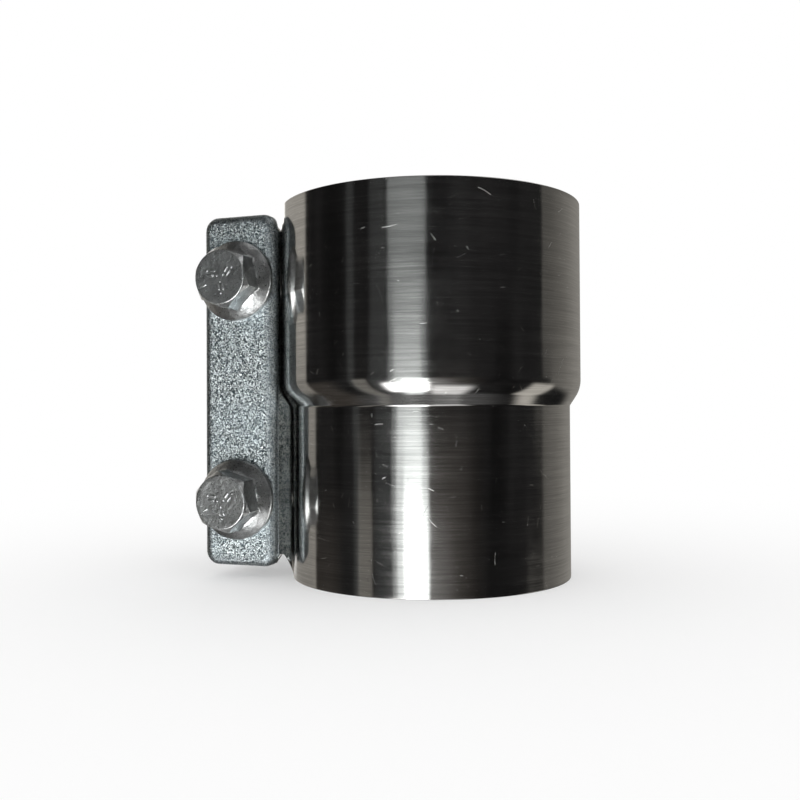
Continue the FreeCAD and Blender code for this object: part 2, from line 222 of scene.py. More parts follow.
def solid(name, patch, faces_at, rounds, material, seam=()):
    """A closed solid with rounded edges. faces_at(point number, shift along the sheet) gives the
    outer point, its normal, the inner point and its normal. The sides of the seam stay square."""
    edge, outward = edge_sides(patch, seam)
    on_edge = {corner for side in edge for corner in side}
    points, normals, lays, rounded_edge = [], [], [], []

    def add(place, normal, number, rounding_or_mark_wear):
        points.append(place)
        normals.append(normal.normalized())
        lays.append(patch.lays[number])
        rounded_edge.append(rounding_or_mark_wear)
        return len(points) - 1

    outer, inner, profiles = {}, {}, {}
    for number in range(len(patch.points)):
        if number not in on_edge:
            top, top_normal, bottom, bottom_normal = faces_at(number, Vector())
            outer[number] = add(top, top_normal, number, 0)
            inner[number] = add(bottom, bottom_normal, number, 0)
            continue
        way, mitre = outward.get(number, (Vector(), 1))
        profile = []
        for face_side, radius in ((1, rounds[0]), (-1, rounds[1])):
            corner_top, _, corner_bottom, _ = faces_at(number, Vector())
            across = (corner_top - corner_bottom).normalized() * face_side
            corner = corner_top if face_side > 0 else corner_bottom
            moved = faces_at(number, way * (-radius * mitre))
            start, start_normal = moved[:2] if face_side > 0 else moved[2:]
            quarter = [add(start, start_normal, number, 0.6)]
            for step in range(1, ROUND_STEPS + 1):
                turn = math.pi / 2 * step / ROUND_STEPS
                along = way * (radius * mitre * (math.sin(turn) - 1))
                down = across * (-radius * (1 - math.cos(turn)))
                lean = across * math.cos(turn) + way * math.sin(turn)
                if lean.length < 0.1:
                    lean = across
                quarter.append(add(corner + along + down, lean, number, 1))
            profile += quarter if face_side > 0 else quarter[::-1]
        profiles[number] = profile
        outer[number] = profile[0]
        inner[number] = profile[-1]

    faces = [[outer[corner] for corner in face] for face in patch.faces]
    faces += [[inner[corner] for corner in face[::-1]] for face in patch.faces]
    for a, b in edge:
        near, far = profiles[a], profiles[b]
        for step in range(len(near) - 1):
            faces.append([near[step], near[step + 1], far[step + 1], far[step]])
    piece = make_object(name, points, faces, material)
    mesh = piece.data
    layer = mesh.uv_layers.new(name="lay")
    for loop in mesh.loops:
        layer.data[loop.index].uv = lays[loop.vertex_index]
    mesh.attributes.new("rounded_edge", "FLOAT", "POINT").data.foreach_set("value", rounded_edge)
    mesh.normals_split_custom_set_from_vertices([tuple(normal) for normal in normals])
    return piece


def sheet_solid(name, patch, gauge, radius, material):
    """A sheet of that gauge about the patch, square where it meets the plane Y = 0."""
    seam = {number for number, point in enumerate(patch.points) if abs(point.y) < ON_SEAM}

    def faces_at(number, shift):
        normal = patch.normals[number]
        place = patch.points[number] + shift
        return place + normal * (gauge / 2), normal, place - normal * (gauge / 2), -normal

    return solid(name, patch, faces_at, (radius, radius), material, seam)


def flat_region(patch, outline, holes, spacing, clear, lift):
    """Fills a flat outline with holes, given as (x, z) points, with triangles. Grid points stay
    clear of its sides. lift(x, z) gives a patch point."""
    loops = [outline] + [hole[::-1] for hole in holes]
    spots = [tuple(spot) for loop in loops for spot in loop]
    bounds = []
    first = 0
    for loop in loops:
        count = len(loop)
        bounds += [(first + step, first + (step + 1) % count) for step in range(count)]
        first += count
    walls = [(Vector(spots[a]), Vector(spots[b])) for a, b in bounds]
    low_x, high_x = min(spot[0] for spot in spots), max(spot[0] for spot in spots)
    low_z, high_z = min(spot[1] for spot in spots), max(spot[1] for spot in spots)
    columns = max(1, round((high_x - low_x) / spacing[0]))
    rows = max(1, round((high_z - low_z) / spacing[1]))
    for x in spread(low_x, high_x, columns)[1:-1]:
        for z in spread(low_z, high_z, rows)[1:-1]:
            spot = Vector((x, z))
            if inside(spot, walls) and wall_distance(spot, walls) > clear:
                spots.append((x, z))
    found = delaunay_2d_cdt([Vector(spot) for spot in spots], bounds, [], 0, 1e-8)
    places, _, triangles, sources = found[:4]
    numbers = [patch.point(*lift(*spots[source[0]])) for source in sources]
    for triangle in triangles:
        centre = sum((places[corner] for corner in triangle), Vector((0, 0))) / 3
        if inside(centre, walls):
            patch.face([numbers[corner] for corner in triangle])


def inside(spot, walls):
    """Even-odd test of a spot against all walls."""
    crossings = 0
    for a, b in walls:
        if (a.y > spot.y) != (b.y > spot.y):
            x = a.x + (spot.y - a.y) / (b.y - a.y) * (b.x - a.x)
            crossings += spot.x < x
    return crossings % 2 == 1


def wall_distance(spot, walls):
    """How far a spot is from the nearest wall."""
    nearest = 1.0
    for a, b in walls:
        along = b - a
        share = min(1, max(0, (spot - a).dot(along) / max(along.length_squared, 1e-16)))
        nearest = min(nearest, (spot - a - along * share).length)
    return nearest


def circle(x, z, radius, count=48):
    turns = [TURN * step / count for step in range(count)]
    return [(x + radius * math.cos(turn), z + radius * math.sin(turn)) for turn in turns]


def arc(x, z, radius, first, last, steps):
    """Points of an arc from angle first to angle last, in degrees."""
    turns = [math.radians(angle) for angle in spread(first, last, steps)]
    return [(x + radius * math.cos(turn), z + radius * math.sin(turn)) for turn in turns]


def spread(first, last, steps):
    """Evenly spaced values from first to last."""
    return [first + (last - first) * step / steps for step in range(steps + 1)]


# ---- the band and the strip ----


def step_shape():
    """Heights at both ends of the step's lower round and of its upper round."""
    climb = STEP_SHOULDER - STEP_FOOT
    rise = LARGE_BORE - SMALL_BORE
    slope = math.hypot(climb, rise)
    half_turn = (slope - climb) / rise
    foot_start = STEP_FOOT - FOOT_ROUND * half_turn
    foot_end = foot_start + FOOT_ROUND * rise / slope
    shoulder_end = STEP_SHOULDER + SHOULDER_ROUND * half_turn
    shoulder_start = shoulder_end - SHOULDER_ROUND * rise / slope
    return foot_start, foot_end, shoulder_start, shoulder_end


FOOT_START, FOOT_END, SHOULDER_START, SHOULDER_END = step_shape()


def bore_at(z):
    """The band's inner radius at a height."""
    if z <= FOOT_START:
        return SMALL_BORE
    if z >= SHOULDER_END:
        return LARGE_BORE
    if z <= FOOT_END:
        return SMALL_BORE + FOOT_ROUND - math.sqrt(FOOT_ROUND**2 - (z - FOOT_START) ** 2)
    if z >= SHOULDER_START:
        return LARGE_BORE - SHOULDER_ROUND + math.sqrt(SHOULDER_ROUND**2 - (SHOULDER_END - z) ** 2)
    share = (z - FOOT_END) / (SHOULDER_START - FOOT_END)
    return bore_at(FOOT_END) * (1 - share) + bore_at(SHOULDER_START) * share


def bore_slope(z):
    """How fast the bore widens with height."""
    return (bore_at(z + SLOPE_STEP) - bore_at(z - SLOPE_STEP)) / (2 * SLOPE_STEP)


def notch_depth(x):
    """How far the flange's end is cut back from the band's end at x: corner, trim and notch."""
    corner = FLANGE_TIP + FLANGE_CORNER
    if x < corner:
        drop = math.sqrt(max(0, FLANGE_CORNER**2 - (corner - x) ** 2))
        return FLANGE_TRIM + FLANGE_CORNER - drop
    away = abs(x - NOTCH_PLACE)
    lean = math.atan(NOTCH_SLOPE)
    tangent = NOTCH_ROUND * math.cos(lean)
    if away < tangent:
        apex = NOTCH_HEIGHT - NOTCH_ROUND / math.sin(lean)
        return apex + math.sqrt(NOTCH_ROUND**2 - away**2)
    depth = NOTCH_HEIGHT - away / NOTCH_SLOPE
    return max(FLANGE_TRIM if x < NOTCH_PLACE else 0, depth)


def section(bore, kind, share):
    """A point of the sheet's middle across the band, its outward normal, and its place along the
    sheet from the far side. The bend runs from the flange to the ring, the ring to the far side."""
    middle = bore + GAUGE / 2
    bend = ROOT_BEND + GAUGE / 2
    depth = GAP_HALF + GAUGE / 2 + bend
    centre = -math.sqrt((middle + bend) ** 2 - depth**2)
    leave = math.atan2(depth, -centre)
    ring_run = middle * (leave - math.pi)
    if kind == "bend":
        turn = math.pi / 2 - (math.pi / 2 - leave) * share
        normal = Vector((-math.cos(turn), -math.sin(turn)))
        place = Vector((centre, -depth)) - normal * bend
        return place, normal, ring_run - bend * (turn - leave)
    polar = (leave - math.pi) * (1 - share)
    normal = Vector((math.cos(polar), math.sin(polar)))
    return normal * middle, normal, middle * polar


def band_columns():
    """Columns (kind, share) from the flange's root to the far side, one at the notch's mouth."""
    mouth = NOTCH_PLACE + NOTCH_HEIGHT * NOTCH_SLOPE
    middle = LARGE_BORE + GAUGE / 2
    start = section(LARGE_BORE, "ring", 0)[0]
    at_start = math.atan2(start.y, start.x)
    at_mouth = -math.acos(mouth / middle)
    mouth_share = 1 - at_mouth / at_start
    columns = [("bend", share) for share in spread(0, 1, BEND_COLUMNS)]
    columns += [("ring", share) for share in spread(0, mouth_share, MOUTH_COLUMNS)[1:]]
    columns += [("ring", share) for share in spread(mouth_share, 1, RING_COLUMNS)[1:]]
    return columns


def step_levels():
    """Heights through the step, above its start."""
    levels = spread(FOOT_START, FOOT_END, 4)[1:]
    levels += spread(FOOT_END, SHOULDER_START, 3)[1:]
    return levels + spread(SHOULDER_START, SHOULDER_END, 8)[1:]


def fixed_levels():
    """Heights between the two end zones, close together through the step."""
    below = spread(END_ZONE, FOOT_START, 16)
    return below + step_levels() + spread(SHOULDER_END, LENGTH - END_ZONE, 16)[1:]


def band_patch():
    """The middle of the sheet on the bolts' side of the gap, split off at the far side."""
    patch = Patch()
    levels = fixed_levels()

    def sheet_point(kind, share, z):
        place, normal, run = section(bore_at(z), kind, share)
        above = section(bore_at(z + SLOPE_STEP), kind, share)[0]
        below = section(bore_at(z - SLOPE_STEP), kind, share)[0]
        climb = (above - below) / (2 * SLOPE_STEP)
        tilted = Vector((normal.x, normal.y, -normal.dot(climb))).normalized()
        return patch.point((place.x, place.y, z), tilted, (run, z))

    grid = []
    root = []
    for kind, share in band_columns():
        low = notch_depth(section(SMALL_BORE, kind, share)[0].x)
        high = notch_depth(section(LARGE_BORE, kind, share)[0].x)
        heights = spread(low, END_ZONE, 10)[:-1] + levels
        heights += spread(LENGTH - END_ZONE, LENGTH - high, 10)[1:]
        grid.append([sheet_point(kind, share, z) for z in heights])
        if not root:
            root = [(section(bore_at(z), kind, share)[0].x, z) for z in heights]
    patch.bridge(grid)

    flat = -(GAP_HALF + GAUGE / 2)

    def end_profile(inner, height_of):
        """The flange's end from its tip to its root."""
        corner = FLANGE_TIP + FLANGE_CORNER
        trim_end = NOTCH_PLACE - (NOTCH_HEIGHT - FLANGE_TRIM) * NOTCH_SLOPE
        tangent = NOTCH_ROUND * math.cos(math.atan(NOTCH_SLOPE))
        stops = [corner - FLANGE_CORNER * math.sin(math.pi / 2 * k / 8) for k in range(8, 0, -1)]
        stops += spread(corner, trim_end, 6)
        stops += spread(trim_end, NOTCH_PLACE - tangent, 2)[1:]
        stops += spread(NOTCH_PLACE - tangent, NOTCH_PLACE + tangent, 8)[1:]
        stops.append(NOTCH_PLACE + (inner - NOTCH_PLACE) * 0.75)
        return [(x, height_of(notch_depth(x))) for x in stops if x < inner - 0.15 * MM]

    bottom = end_profile(root[0][0], lambda depth: depth)
    top = end_profile(root[-1][0], lambda depth: LENGTH - depth)
    tip = [(FLANGE_TIP, z) for z in spread(bottom[0][1], top[0][1], 24)[1:-1]]
    outline = bottom + root + top[::-1] + tip[::-1]
    holes = [circle(BOLT_LINE, height, FLANGE_HOLE) for height in BOLT_HEIGHTS]

    def flange_point(x, z):
        place, _, run = section(bore_at(z), "bend", 0)
        return (x, flat, z), (0, -1, 0), (run + x - place.x, z)

    flat_region(patch, outline, holes, FLANGE_GRID, FLANGE_CLEAR, flange_point)
    return patch


def make_band(material):
    """The band as two halves that meet opposite the gap."""
    front = band_patch()
    sides = (("band_bolt_half", front, "bolt_jaw"), ("band_nut_half", front.mirrored(), "nut_jaw"))
    for name, patch, jaw in sides:
        piece = sheet_solid(name, patch, GAUGE, SHEET_ROUND, material)
        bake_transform(piece)
        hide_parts("clamp_band")


def make_strip(material):
    """The thin strip that closes the gap from inside, in two halves."""
    low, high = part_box("seal_strip")
    patch = Patch()
    levels = spread(low.z, FOOT_START, STRIP_STEPS) + step_levels()[:-1]
    levels += spread(SHOULDER_END, high.z, STRIP_STEPS)[1:]
    grid = []
    for y in spread(-high.y, 0, STRIP_STEPS):
        column = []
        for z in levels:
            radius = bore_at(z) + STRIP_PLAY + STRIP_GAUGE / 2
            x = -math.sqrt(radius**2 - y**2)
            normal = Vector((x / radius, y / radius, -bore_slope(z))).normalized()
            column.append(patch.point((x, y, z), normal, (y, z)))
        grid.append(column)
    for left, right in zip(grid, grid[1:]):
        patch.bridge([right, left])
    other = patch.mirrored()
    sides = (("strip_bolt_half", patch, "bolt_jaw"), ("strip_nut_half", other, "nut_jaw"))
    for name, part, jaw in sides:
        piece = sheet_solid(name, part, STRIP_GAUGE, STRIP_ROUND, material)
        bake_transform(piece)
        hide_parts("seal_strip")


# ---- the bars ----


def make_bar(node, outwards, body, material):
    """A clamp bar: flat outside with soft edges, crowned towards the sheet, with two holes."""
    low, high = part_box(node)
    left, right, base, top = low.x, high.x, low.z, high.z
    middle = (left + right) / 2
    half = (right - left) / 2
    thickness = high.y - low.y
    crown = thickness - BAR_EDGE
    crown_radius = (half**2 + crown**2) / (2 * crown)
    face = high.y if outwards > 0 else low.y

    def depth_at(x):
        """How thick the bar is at x."""
        return thickness - crown_radius + math.sqrt(max(0, crown_radius**2 - (x - middle) ** 2))

    corner = BAR_CORNER
    outline = arc(right - corner, base + corner, corner, -90, 0, 10)
    outline += [(right, z) for z in spread(base + corner, top - corner, 30)[1:-1]]
    outline += arc(right - corner, top - corner, corner, 0, 90, 10)
    outline += [(x, top) for x in spread(right - corner, left + corner, 14)[1:-1]]
    outline += arc(left + corner, top - corner, corner, 90, 180, 10)
    outline += [(left, z) for z in spread(top - corner, base + corner, 30)[1:-1]]
    outline += arc(left + corner, base + corner, corner, 180, 270, 10)
    outline += [(x, base) for x in spread(left + corner, right - corner, 14)[1:-1]]
    holes = [circle(BOLT_LINE, height, BAR_HOLE) for height in BOLT_HEIGHTS]
    patch = Patch()

    def flat_point(x, z):
        return (x, 0, z), (0, -1, 0), (x, z)

    flat_region(patch, outline, holes, BAR_GRID, BAR_CLEAR, flat_point)
    if outwards > 0:
        patch = patch.mirrored()
    out = Vector((0, outwards, 0))

    def faces_at(number, shift):
        place = patch.points[number] + shift
        reach = depth_at(place.x)
        lean = (place.x - middle) / crown_radius
        back_normal = Vector((lean, -outwards * math.sqrt(1 - min(0.9, lean**2)), 0))
        front = Vector((place.x, face, place.z))
        return front, out, front - out * reach, back_normal

    piece = solid(node + "_plate", patch, faces_at, (BAR_ROUND, BAR_BACK_ROUND), material)
    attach(piece, body)
    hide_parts(node)


# ---- bolts and nuts ----


def hexagon_angles():
    """Angles round the axis, close together where the hexagon's corners are rounded."""
    corner = math.degrees(corner_spread())
    angles = []
    for number in range(6):
        middle = 60 * number
        angles += [middle + corner * share for share in (-1, -0.5, 0, 0.5)]
        angles += spread(middle + corner, middle + 60 - corner, 10)[:-1]
    return [math.radians(angle) for angle in angles]


def corner_spread():
    """Half the angle that a rounded corner of the hexagon takes."""
    return math.atan2(HEX_ROUND / 2, HEX_ROUND_AT + HEX_ROUND * math.sqrt(3) / 2)


def hexagon_radius(angle):
    """Distance from the axis to the hexagon, whose corners lie at multiples of 60 degrees."""
    away = abs((angle + math.pi / 6) % (math.pi / 3) - math.pi / 6)
    if away < corner_spread():
        aside = HEX_ROUND_AT * math.sin(away)
        return HEX_ROUND_AT * math.cos(away) + math.sqrt(HEX_ROUND**2 - aside**2)
    return HEX_HALF / math.cos(math.pi / 6 - away)


def flange_height(radius):
    """Height of the conical flange's face above the bearing face."""
    if radius <= FLANGE_NECK:
        return FLANGE_RISE
    slope = (FLANGE_RISE - FLANGE_RIM) / (FLANGE_RADIUS - FLANGE_NECK)
    return FLANGE_RIM + (FLANGE_RADIUS - radius) * slope


# One pitch of the thread: share of the pitch, share of the depth.
THREAD_PROFILE = [(0, 0), (0.12, 0), (0.42, 0.94), (0.56, 1), (0.7, 0.94), (1, 0)]


def thread_radius(along, angle):
    """Radius of a right-hand M10 thread at a distance along the bolt and an angle from +X to +Z."""
    phase = (along / PITCH + angle / TURN) % 1
    for (start, first), (end, second) in zip(THREAD_PROFILE, THREAD_PROFILE[1:]):
        if phase <= end:
            share = (phase - start) / (end - start)
            return SHANK - THREAD_DEPTH * (first + (second - first) * share)
    return SHANK


class Turning:
    """A body of stacked rings about an axis along Y, its angles measured from +X to +Z."""

    def __init__(self, x, y, z, side, turned_by):
        self.patch = Patch()
        self.centre = Vector((x, y, z))
        self.side = side
        self.turned = turned_by
        self.angles = hexagon_angles()

    def place(self, angle, radius, height):
        """height counts outwards, towards the bars' free side, from the bearing face."""
        way = angle + self.turned
        away = (radius * math.cos(way), height * self.side, radius * math.sin(way))
        return self.centre + Vector(away)

    def ring(self, shape):
        """shape(angle) gives radius and height. The last point repeats the first."""
        numbers = [self.patch.point(self.place(a, *shape(a))) for a in self.angles]
        return numbers + numbers[:1]

    def level_ring(self, radius, height):
        return self.ring(lambda a: (radius, height))

    def thread_rings(self, begin, end, offset, shape):
        """Rows that follow the helix between two distances along the bolt. offset is that distance
        at the bearing face. shape(distance, angle) gives the radius."""
        rings = []
        for turn in range(math.floor(begin / PITCH) - 1, math.ceil(end / PITCH) + 2):
            for phase, _ in THREAD_PROFILE[:-1]:
                row = []
                for step in range(len(self.angles) + 1):
                    angle = self.angles[step % len(self.angles)]
                    way = angle + self.turned
                    swept = way + (TURN if step == len(self.angles) else 0)
                    along = PITCH * (turn + phase - swept / TURN)
                    along = min(max(along, begin), end)
                    height = (along - offset) * self.side
                    row.append(self.patch.point(self.place(angle, shape(along, way), height)))
                rings.append(row)
        return rings

    def finish(self, name, material):
        piece = make_object(name, self.patch.points, self.patch.faces, material)
        tidy_normals(piece)
        return piece


def tidy_normals(piece):
    """Closed mesh with outward faces, smooth over its rounded edges and crisp elsewhere."""
    work = bmesh.new()
    work.from_mesh(piece.data)
    bmesh.ops.remove_doubles(work, verts=work.verts, dist=WELD)
    bmesh.ops.recalc_face_normals(work, faces=work.faces)
    work.to_mesh(piece.data)
    work.free()
    piece.data.set_sharp_from_angle(angle=math.radians(38))
    weighted = piece.modifiers.new("weighted_normals", "WEIGHTED_NORMAL")
    weighted.keep_sharp = True
    weighted.weight = 90


def hexagon_rings(turning, top, recess):
    """Rings from the middle of the free face down the hexagon and out over the flange."""

    def hexagon_ring(extra, height_at, least=0):
        """A ring along the hexagon, wider by extra. height_at(angle, radius) gives its height."""

        def shape(angle):
            radius = max(least, hexagon_radius(angle) + extra)
            return radius, height_at(angle, radius)

        return turning.ring(shape)

    def below_chamfer(drop):
        face_edge = top - 0.12 * MM
        return lambda a, _: face_edge - (hexagon_radius(a) - HEX_FACE) * HEX_CHAMFER - drop

    def above_flange(rise):
        return lambda _, radius: flange_height(radius) + rise

    rings = [turning.level_ring(radius, top - drop) for radius, drop in recess]
    for inset, drop in ((0.36, 0), (0.2, 0.012), (0.09, 0.05), (0, 0.12)):
        rings.append(turning.level_ring(HEX_FACE - inset * MM, top - drop * MM))
    rings += [
        hexagon_ring(-0.1 * MM, below_chamfer(0), HEX_FACE + 0.02 * MM),
        hexagon_ring(-0.02 * MM, below_chamfer(0.1 * MM)),
        hexagon_ring(0, below_chamfer(0.25 * MM)),
        hexagon_ring(0, above_flange(0.5 * MM)),
        hexagon_ring(0.1 * MM, above_flange(0.17 * MM)),
        hexagon_ring(0.4 * MM, above_flange(0)),
        hexagon_ring(0.75 * MM, above_flange(0), FLANGE_NECK + 0.15 * MM),
    ]
    cone = [FLANGE_RADIUS - 0.9 * MM, FLANGE_RADIUS - 0.3 * MM]
    rim = [(radius, flange_height(radius)) for radius in cone]
    rim += [
        (FLANGE_RADIUS - 0.08 * MM, FLANGE_RIM - 0.03 * MM),
        (FLANGE_RADIUS, FLANGE_RIM - 0.2 * MM),
        (FLANGE_RADIUS, 0.35 * MM),
        (FLANGE_RADIUS - 0.1 * MM, 0.1 * MM),
        (FLANGE_RADIUS - 0.4 * MM, 0),
    ]
    return rings + [turning.level_ring(*spot) for spot in rim]


def raised_mark(turning, spot, angle, length, width):
    """A low raised dash on the head's face, centred at spot (across, up) and turned."""
    count = 20
    layers = [(1, -0.05), (1, 0.05), (0.8, 0.16), (0.5, 0.2)]
    rings = []
    for scale, rise in layers:
        ring = []
        for step in range(count):
            turn = TURN * step / count
            along = math.cos(turn) * width / 2 * scale
            along += math.copysign((length - width) / 2, math.cos(turn))
            across = math.sin(turn) * width / 2 * scale
            x = spot[0] + along * math.cos(angle) - across * math.sin(angle)
            z = spot[1] + along * math.sin(angle) + across * math.cos(angle)
            way = math.atan2(z, x) - turning.turned
            place = turning.place(way, math.hypot(x, z), MARK_HEIGHT + rise * MM)
            ring.append(turning.patch.point(place))
        rings.append(ring + ring[:1])
    turning.patch.bridge(rings)
    turning.patch.face(rings[-1][:-1])
    turning.patch.face(rings[0][:-1])


def head_marks(turning):
    """Three groups of two dashes and two dots round the middle, and one dash near the rim."""
    for turn in (35, 155, 275):
        angle = math.radians(turn)
        middle = Vector((math.cos(angle), math.sin(angle))) * 2.7 * MM
        aside = Vector((-math.sin(angle), math.cos(angle))) * 0.62 * MM
        for spot in (middle + aside, middle - aside):
            raised_mark(turning, spot, angle + 0.3, 2.0 * MM, 0.8 * MM)
        for spot in (middle * 1.6, middle * 0.42):
            raised_mark(turning, spot, angle, 0.9 * MM, 0.85 * MM)
    angle = math.radians(205)
    rim_spot = Vector((math.cos(angle), math.sin(angle))) * 5.2 * MM
    raised_mark(turning, rim_spot, angle, 1.8 * MM, 0.5 * MM)


def make_bolt(node, body, material):
    """A flanged hexagon bolt with its thread, a shallow dish in its head and plain raised marks."""
    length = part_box(node)[1].y - BOLT_FACE
    turning = Turning(BOLT_LINE, BOLT_FACE, middle_of(node).z, -1, -math.radians(HEAD_TURN))
    dish = [(1.6 * MM, 0.1 * MM), (4.6 * MM, 0.09 * MM), (5.9 * MM, 0.02 * MM)]
    rings = hexagon_rings(turning, HEAD_HEIGHT, dish)
    turning.patch.face(rings[0][:-1])
    under = [(SHANK + 0.5 * MM, 0), (SHANK + 0.1 * MM, -0.12 * MM), (SHANK, -0.5 * MM)]
    runout = THREAD_LENGTH + THREAD_RUNOUT
    under.append((SHANK, runout - length + 2 * MM))
    rings += [turning.level_ring(*spot) for spot in under]

    def shape(along, way):
        fade = min(1, max(0, (along - (length - runout)) / THREAD_RUNOUT))
        radius = SHANK - (SHANK - thread_radius(along, way)) * fade
        return min(radius, SHANK - max(0, along - (length - POINT)))

    rings += turning.thread_rings(length - runout, length, 0, shape)
    turning.patch.bridge(rings)
    turning.patch.face(list(dict.fromkeys(rings[-1])))
    head_marks(turning)
    piece = turning.finish(node + "_body", material)
    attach(piece, body)
    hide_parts(node)


def make_nut(node, material):
    """A flanged hexagon nut whose thread is in mesh with its bolt's."""
    start = NUT_FACE - BOLT_FACE
    turned_by = -math.radians(NUT_TURNS[node])
    turning = Turning(BOLT_LINE, NUT_FACE, middle_of(node).z, 1, turned_by)
    rings = hexagon_rings(turning, NUT_HEIGHT, [(NUT_MOUTH, 0)])
    ends = (start + NUT_SINK, start + NUT_HEIGHT - NUT_SINK)

    def shape(along, way):
        return thread_radius(along, way) + THREAD_PLAY

    inner = turning.thread_rings(*ends, start, shape)
    turning.patch.bridge(rings + [turning.level_ring(NUT_MOUTH, 0)] + inner + [rings[0]])
    piece = turning.finish(node + "_body", material)
    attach(piece, "nut_jaw")
    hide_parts(node)


# ---- the block ----


def dress_block(material):
    """The block keeps its CAD mesh, with its edges slightly broken."""
    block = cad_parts["reaction_block"]
    block.data.materials.clear()
    block.data.materials.append(material)
    block.data.polygons.foreach_set("use_smooth", [True] * len(block.data.polygons))
    edges = block.modifiers.new("broken_edges", "BEVEL")
    edges.width = BLOCK_EDGE
    edges.segments = 2
    edges.limit_method = "ANGLE"
    edges.angle_limit = math.radians(40)
    weighted = block.modifiers.new("weighted_normals", "WEIGHTED_NORMAL")
    weighted.keep_sharp = True


# ---- node graphs ----


class Graph:
    """Short ways to add shader nodes."""

    def __init__(self, tree):
        self.tree = tree
        tree.nodes.clear()

    def node(self, kind, inputs=None, **settings):
        made = self.tree.nodes.new("ShaderNode" + kind)
        for name, value in settings.items():
            setattr(made, name, value)
        for name, value in (inputs or {}).items():
            self.feed(made.inputs[name], value)
        return made

    def feed(self, socket, value):
        if isinstance(value, bpy.types.NodeSocket):
            self.tree.links.new(value, socket)
        else:
            socket.default_value = value

    def math(self, operation, first, second=0.0, clamp=False):
        inputs = {0: first, 1: second}
        return self.node("Math", inputs, operation=operation, use_clamp=clamp).outputs[0]

    def times(self, first, second):
        return self.math("MULTIPLY", first, second)

    def vector(self, operation, first, second=(0, 0, 0), output="Vector"):
        made = self.node("VectorMath", {0: first, 1: second}, operation=operation)
        return made.outputs[output]

    def scaled(self, value, factor):
        made = self.node("VectorMath", {0: value, "Scale": factor}, operation="SCALE")
        return made.outputs[0]

    def object_place(self):
        """The place on the piece in millimetres."""
        return self.scaled(self.node("TexCoord").outputs["Object"], PER_METRE)

    def rounded_edge(self):
        """1 on rounded edges."""
        return self.node("Attribute", attribute_name="rounded_edge").outputs["Fac"]

    def weighted(self, first, share, second):
        return self.math("ADD", self.times(first, share), self.times(second, 1 - share))

    def remap(self, value, low, high, to_low=0.0, to_high=1.0, smooth=True):
        kind = "SMOOTHSTEP" if smooth else "LINEAR"
        inputs = {0: value, 1: low, 2: high, 3: to_low, 4: to_high}
        return self.node("MapRange", inputs, interpolation_type=kind).outputs[0]

    def mix(self, share, first, second, blend="MIX"):
        inputs = {0: share, 6: first, 7: second}
        return self.node("Mix", inputs, data_type="RGBA", blend_type=blend).outputs[2]

    def combine(self, value):
        """A grey of that value."""
        made = self.node("CombineXYZ", {0: value, 1: value, 2: value})
        return made.outputs[0]

    def noise(self, place, scale, detail=2.0, rough=0.5):
        inputs = {"Vector": place, "Scale": scale, "Detail": detail, "Roughness": rough}
        return self.node("TexNoise", inputs).outputs[0]

    def placed(self, place, scale, turn=0.0, shift=0.0):
        """The place moved, turned about Z in degrees and scaled."""
        made = self.node("Mapping", {"Vector": place, "Scale": scale})
        made.inputs["Location"].default_value = (shift, shift * 0.37, shift * 0.61)
        made.inputs["Rotation"].default_value = (0, 0, math.radians(turn))
        return made.outputs[0]

    def bump(self, height, distance, under=None):
        made = self.node("Bump", {"Height": height, "Distance": distance})
        if under is not None:
            self.feed(made.inputs["Normal"], under)
        return made.outputs[0]


SPECK = (0.2, 0.2, 0.2, 1)


class Metal(Graph):
    """The node graph of a metal."""

    def __init__(self, name):
        self.material = bpy.data.materials.new(name)
        self.material.use_nodes = True
        super().__init__(self.material.node_tree)
        self.shader = self.node("BsdfPrincipled")
        self.shader.inputs["Metallic"].default_value = 1.0
        self.node("OutputMaterial", {0: self.shader.outputs[0]})

    def finished(self, base, rough, normal):
        for name, value in (("Base Color", base), ("Roughness", rough), ("Normal", normal)):
            self.feed(self.shader.inputs[name], value)
        return self.material


def scratches(graph, lay, size, share, width, shift):
    """Short, slightly bent marks, at most one to a cell of that size, in every direction."""
    spread_out = graph.placed(lay, (1 / size, 1 / size, 1), 0, shift)
    cells = graph.node("TexVoronoi", {"Vector": spread_out, "Scale": 1.0})
    cells.voronoi_dimensions = "2D"
    chance = graph.node("SeparateColor", {0: cells.outputs["Color"]})
    offset = graph.vector("SUBTRACT", spread_out, cells.outputs["Position"])
    angle = graph.times(chance.outputs[0], TURN)
    inputs = {"Vector": offset, "Angle": angle}
    aligned = graph.node("VectorRotate", inputs, rotation_type="Z_AXIS")
    parts = graph.node("SeparateXYZ", {0: aligned.outputs[0]})
    along, across = parts.outputs[0], parts.outputs[1]
    bend = graph.times(graph.math("POWER", graph.math("ABSOLUTE", along), 2.0), 0.35)
    away = graph.math("ABSOLUTE", graph.math("SUBTRACT", across, bend))
    line = graph.remap(away, width / size, 0.3 * width / size)
    reach = graph.times(chance.outputs[1], 0.3)
    inside_reach = graph.math("LESS_THAN", graph.math("ABSOLUTE", along), reach)
    kept = graph.math("LESS_THAN", chance.outputs[2], share)
    faintness = graph.math("DIVIDE", chance.outputs[2], share)
    line = graph.times(line, graph.math("SUBTRACT", 1.0, faintness))
    return graph.times(line, graph.times(inside_reach, kept))


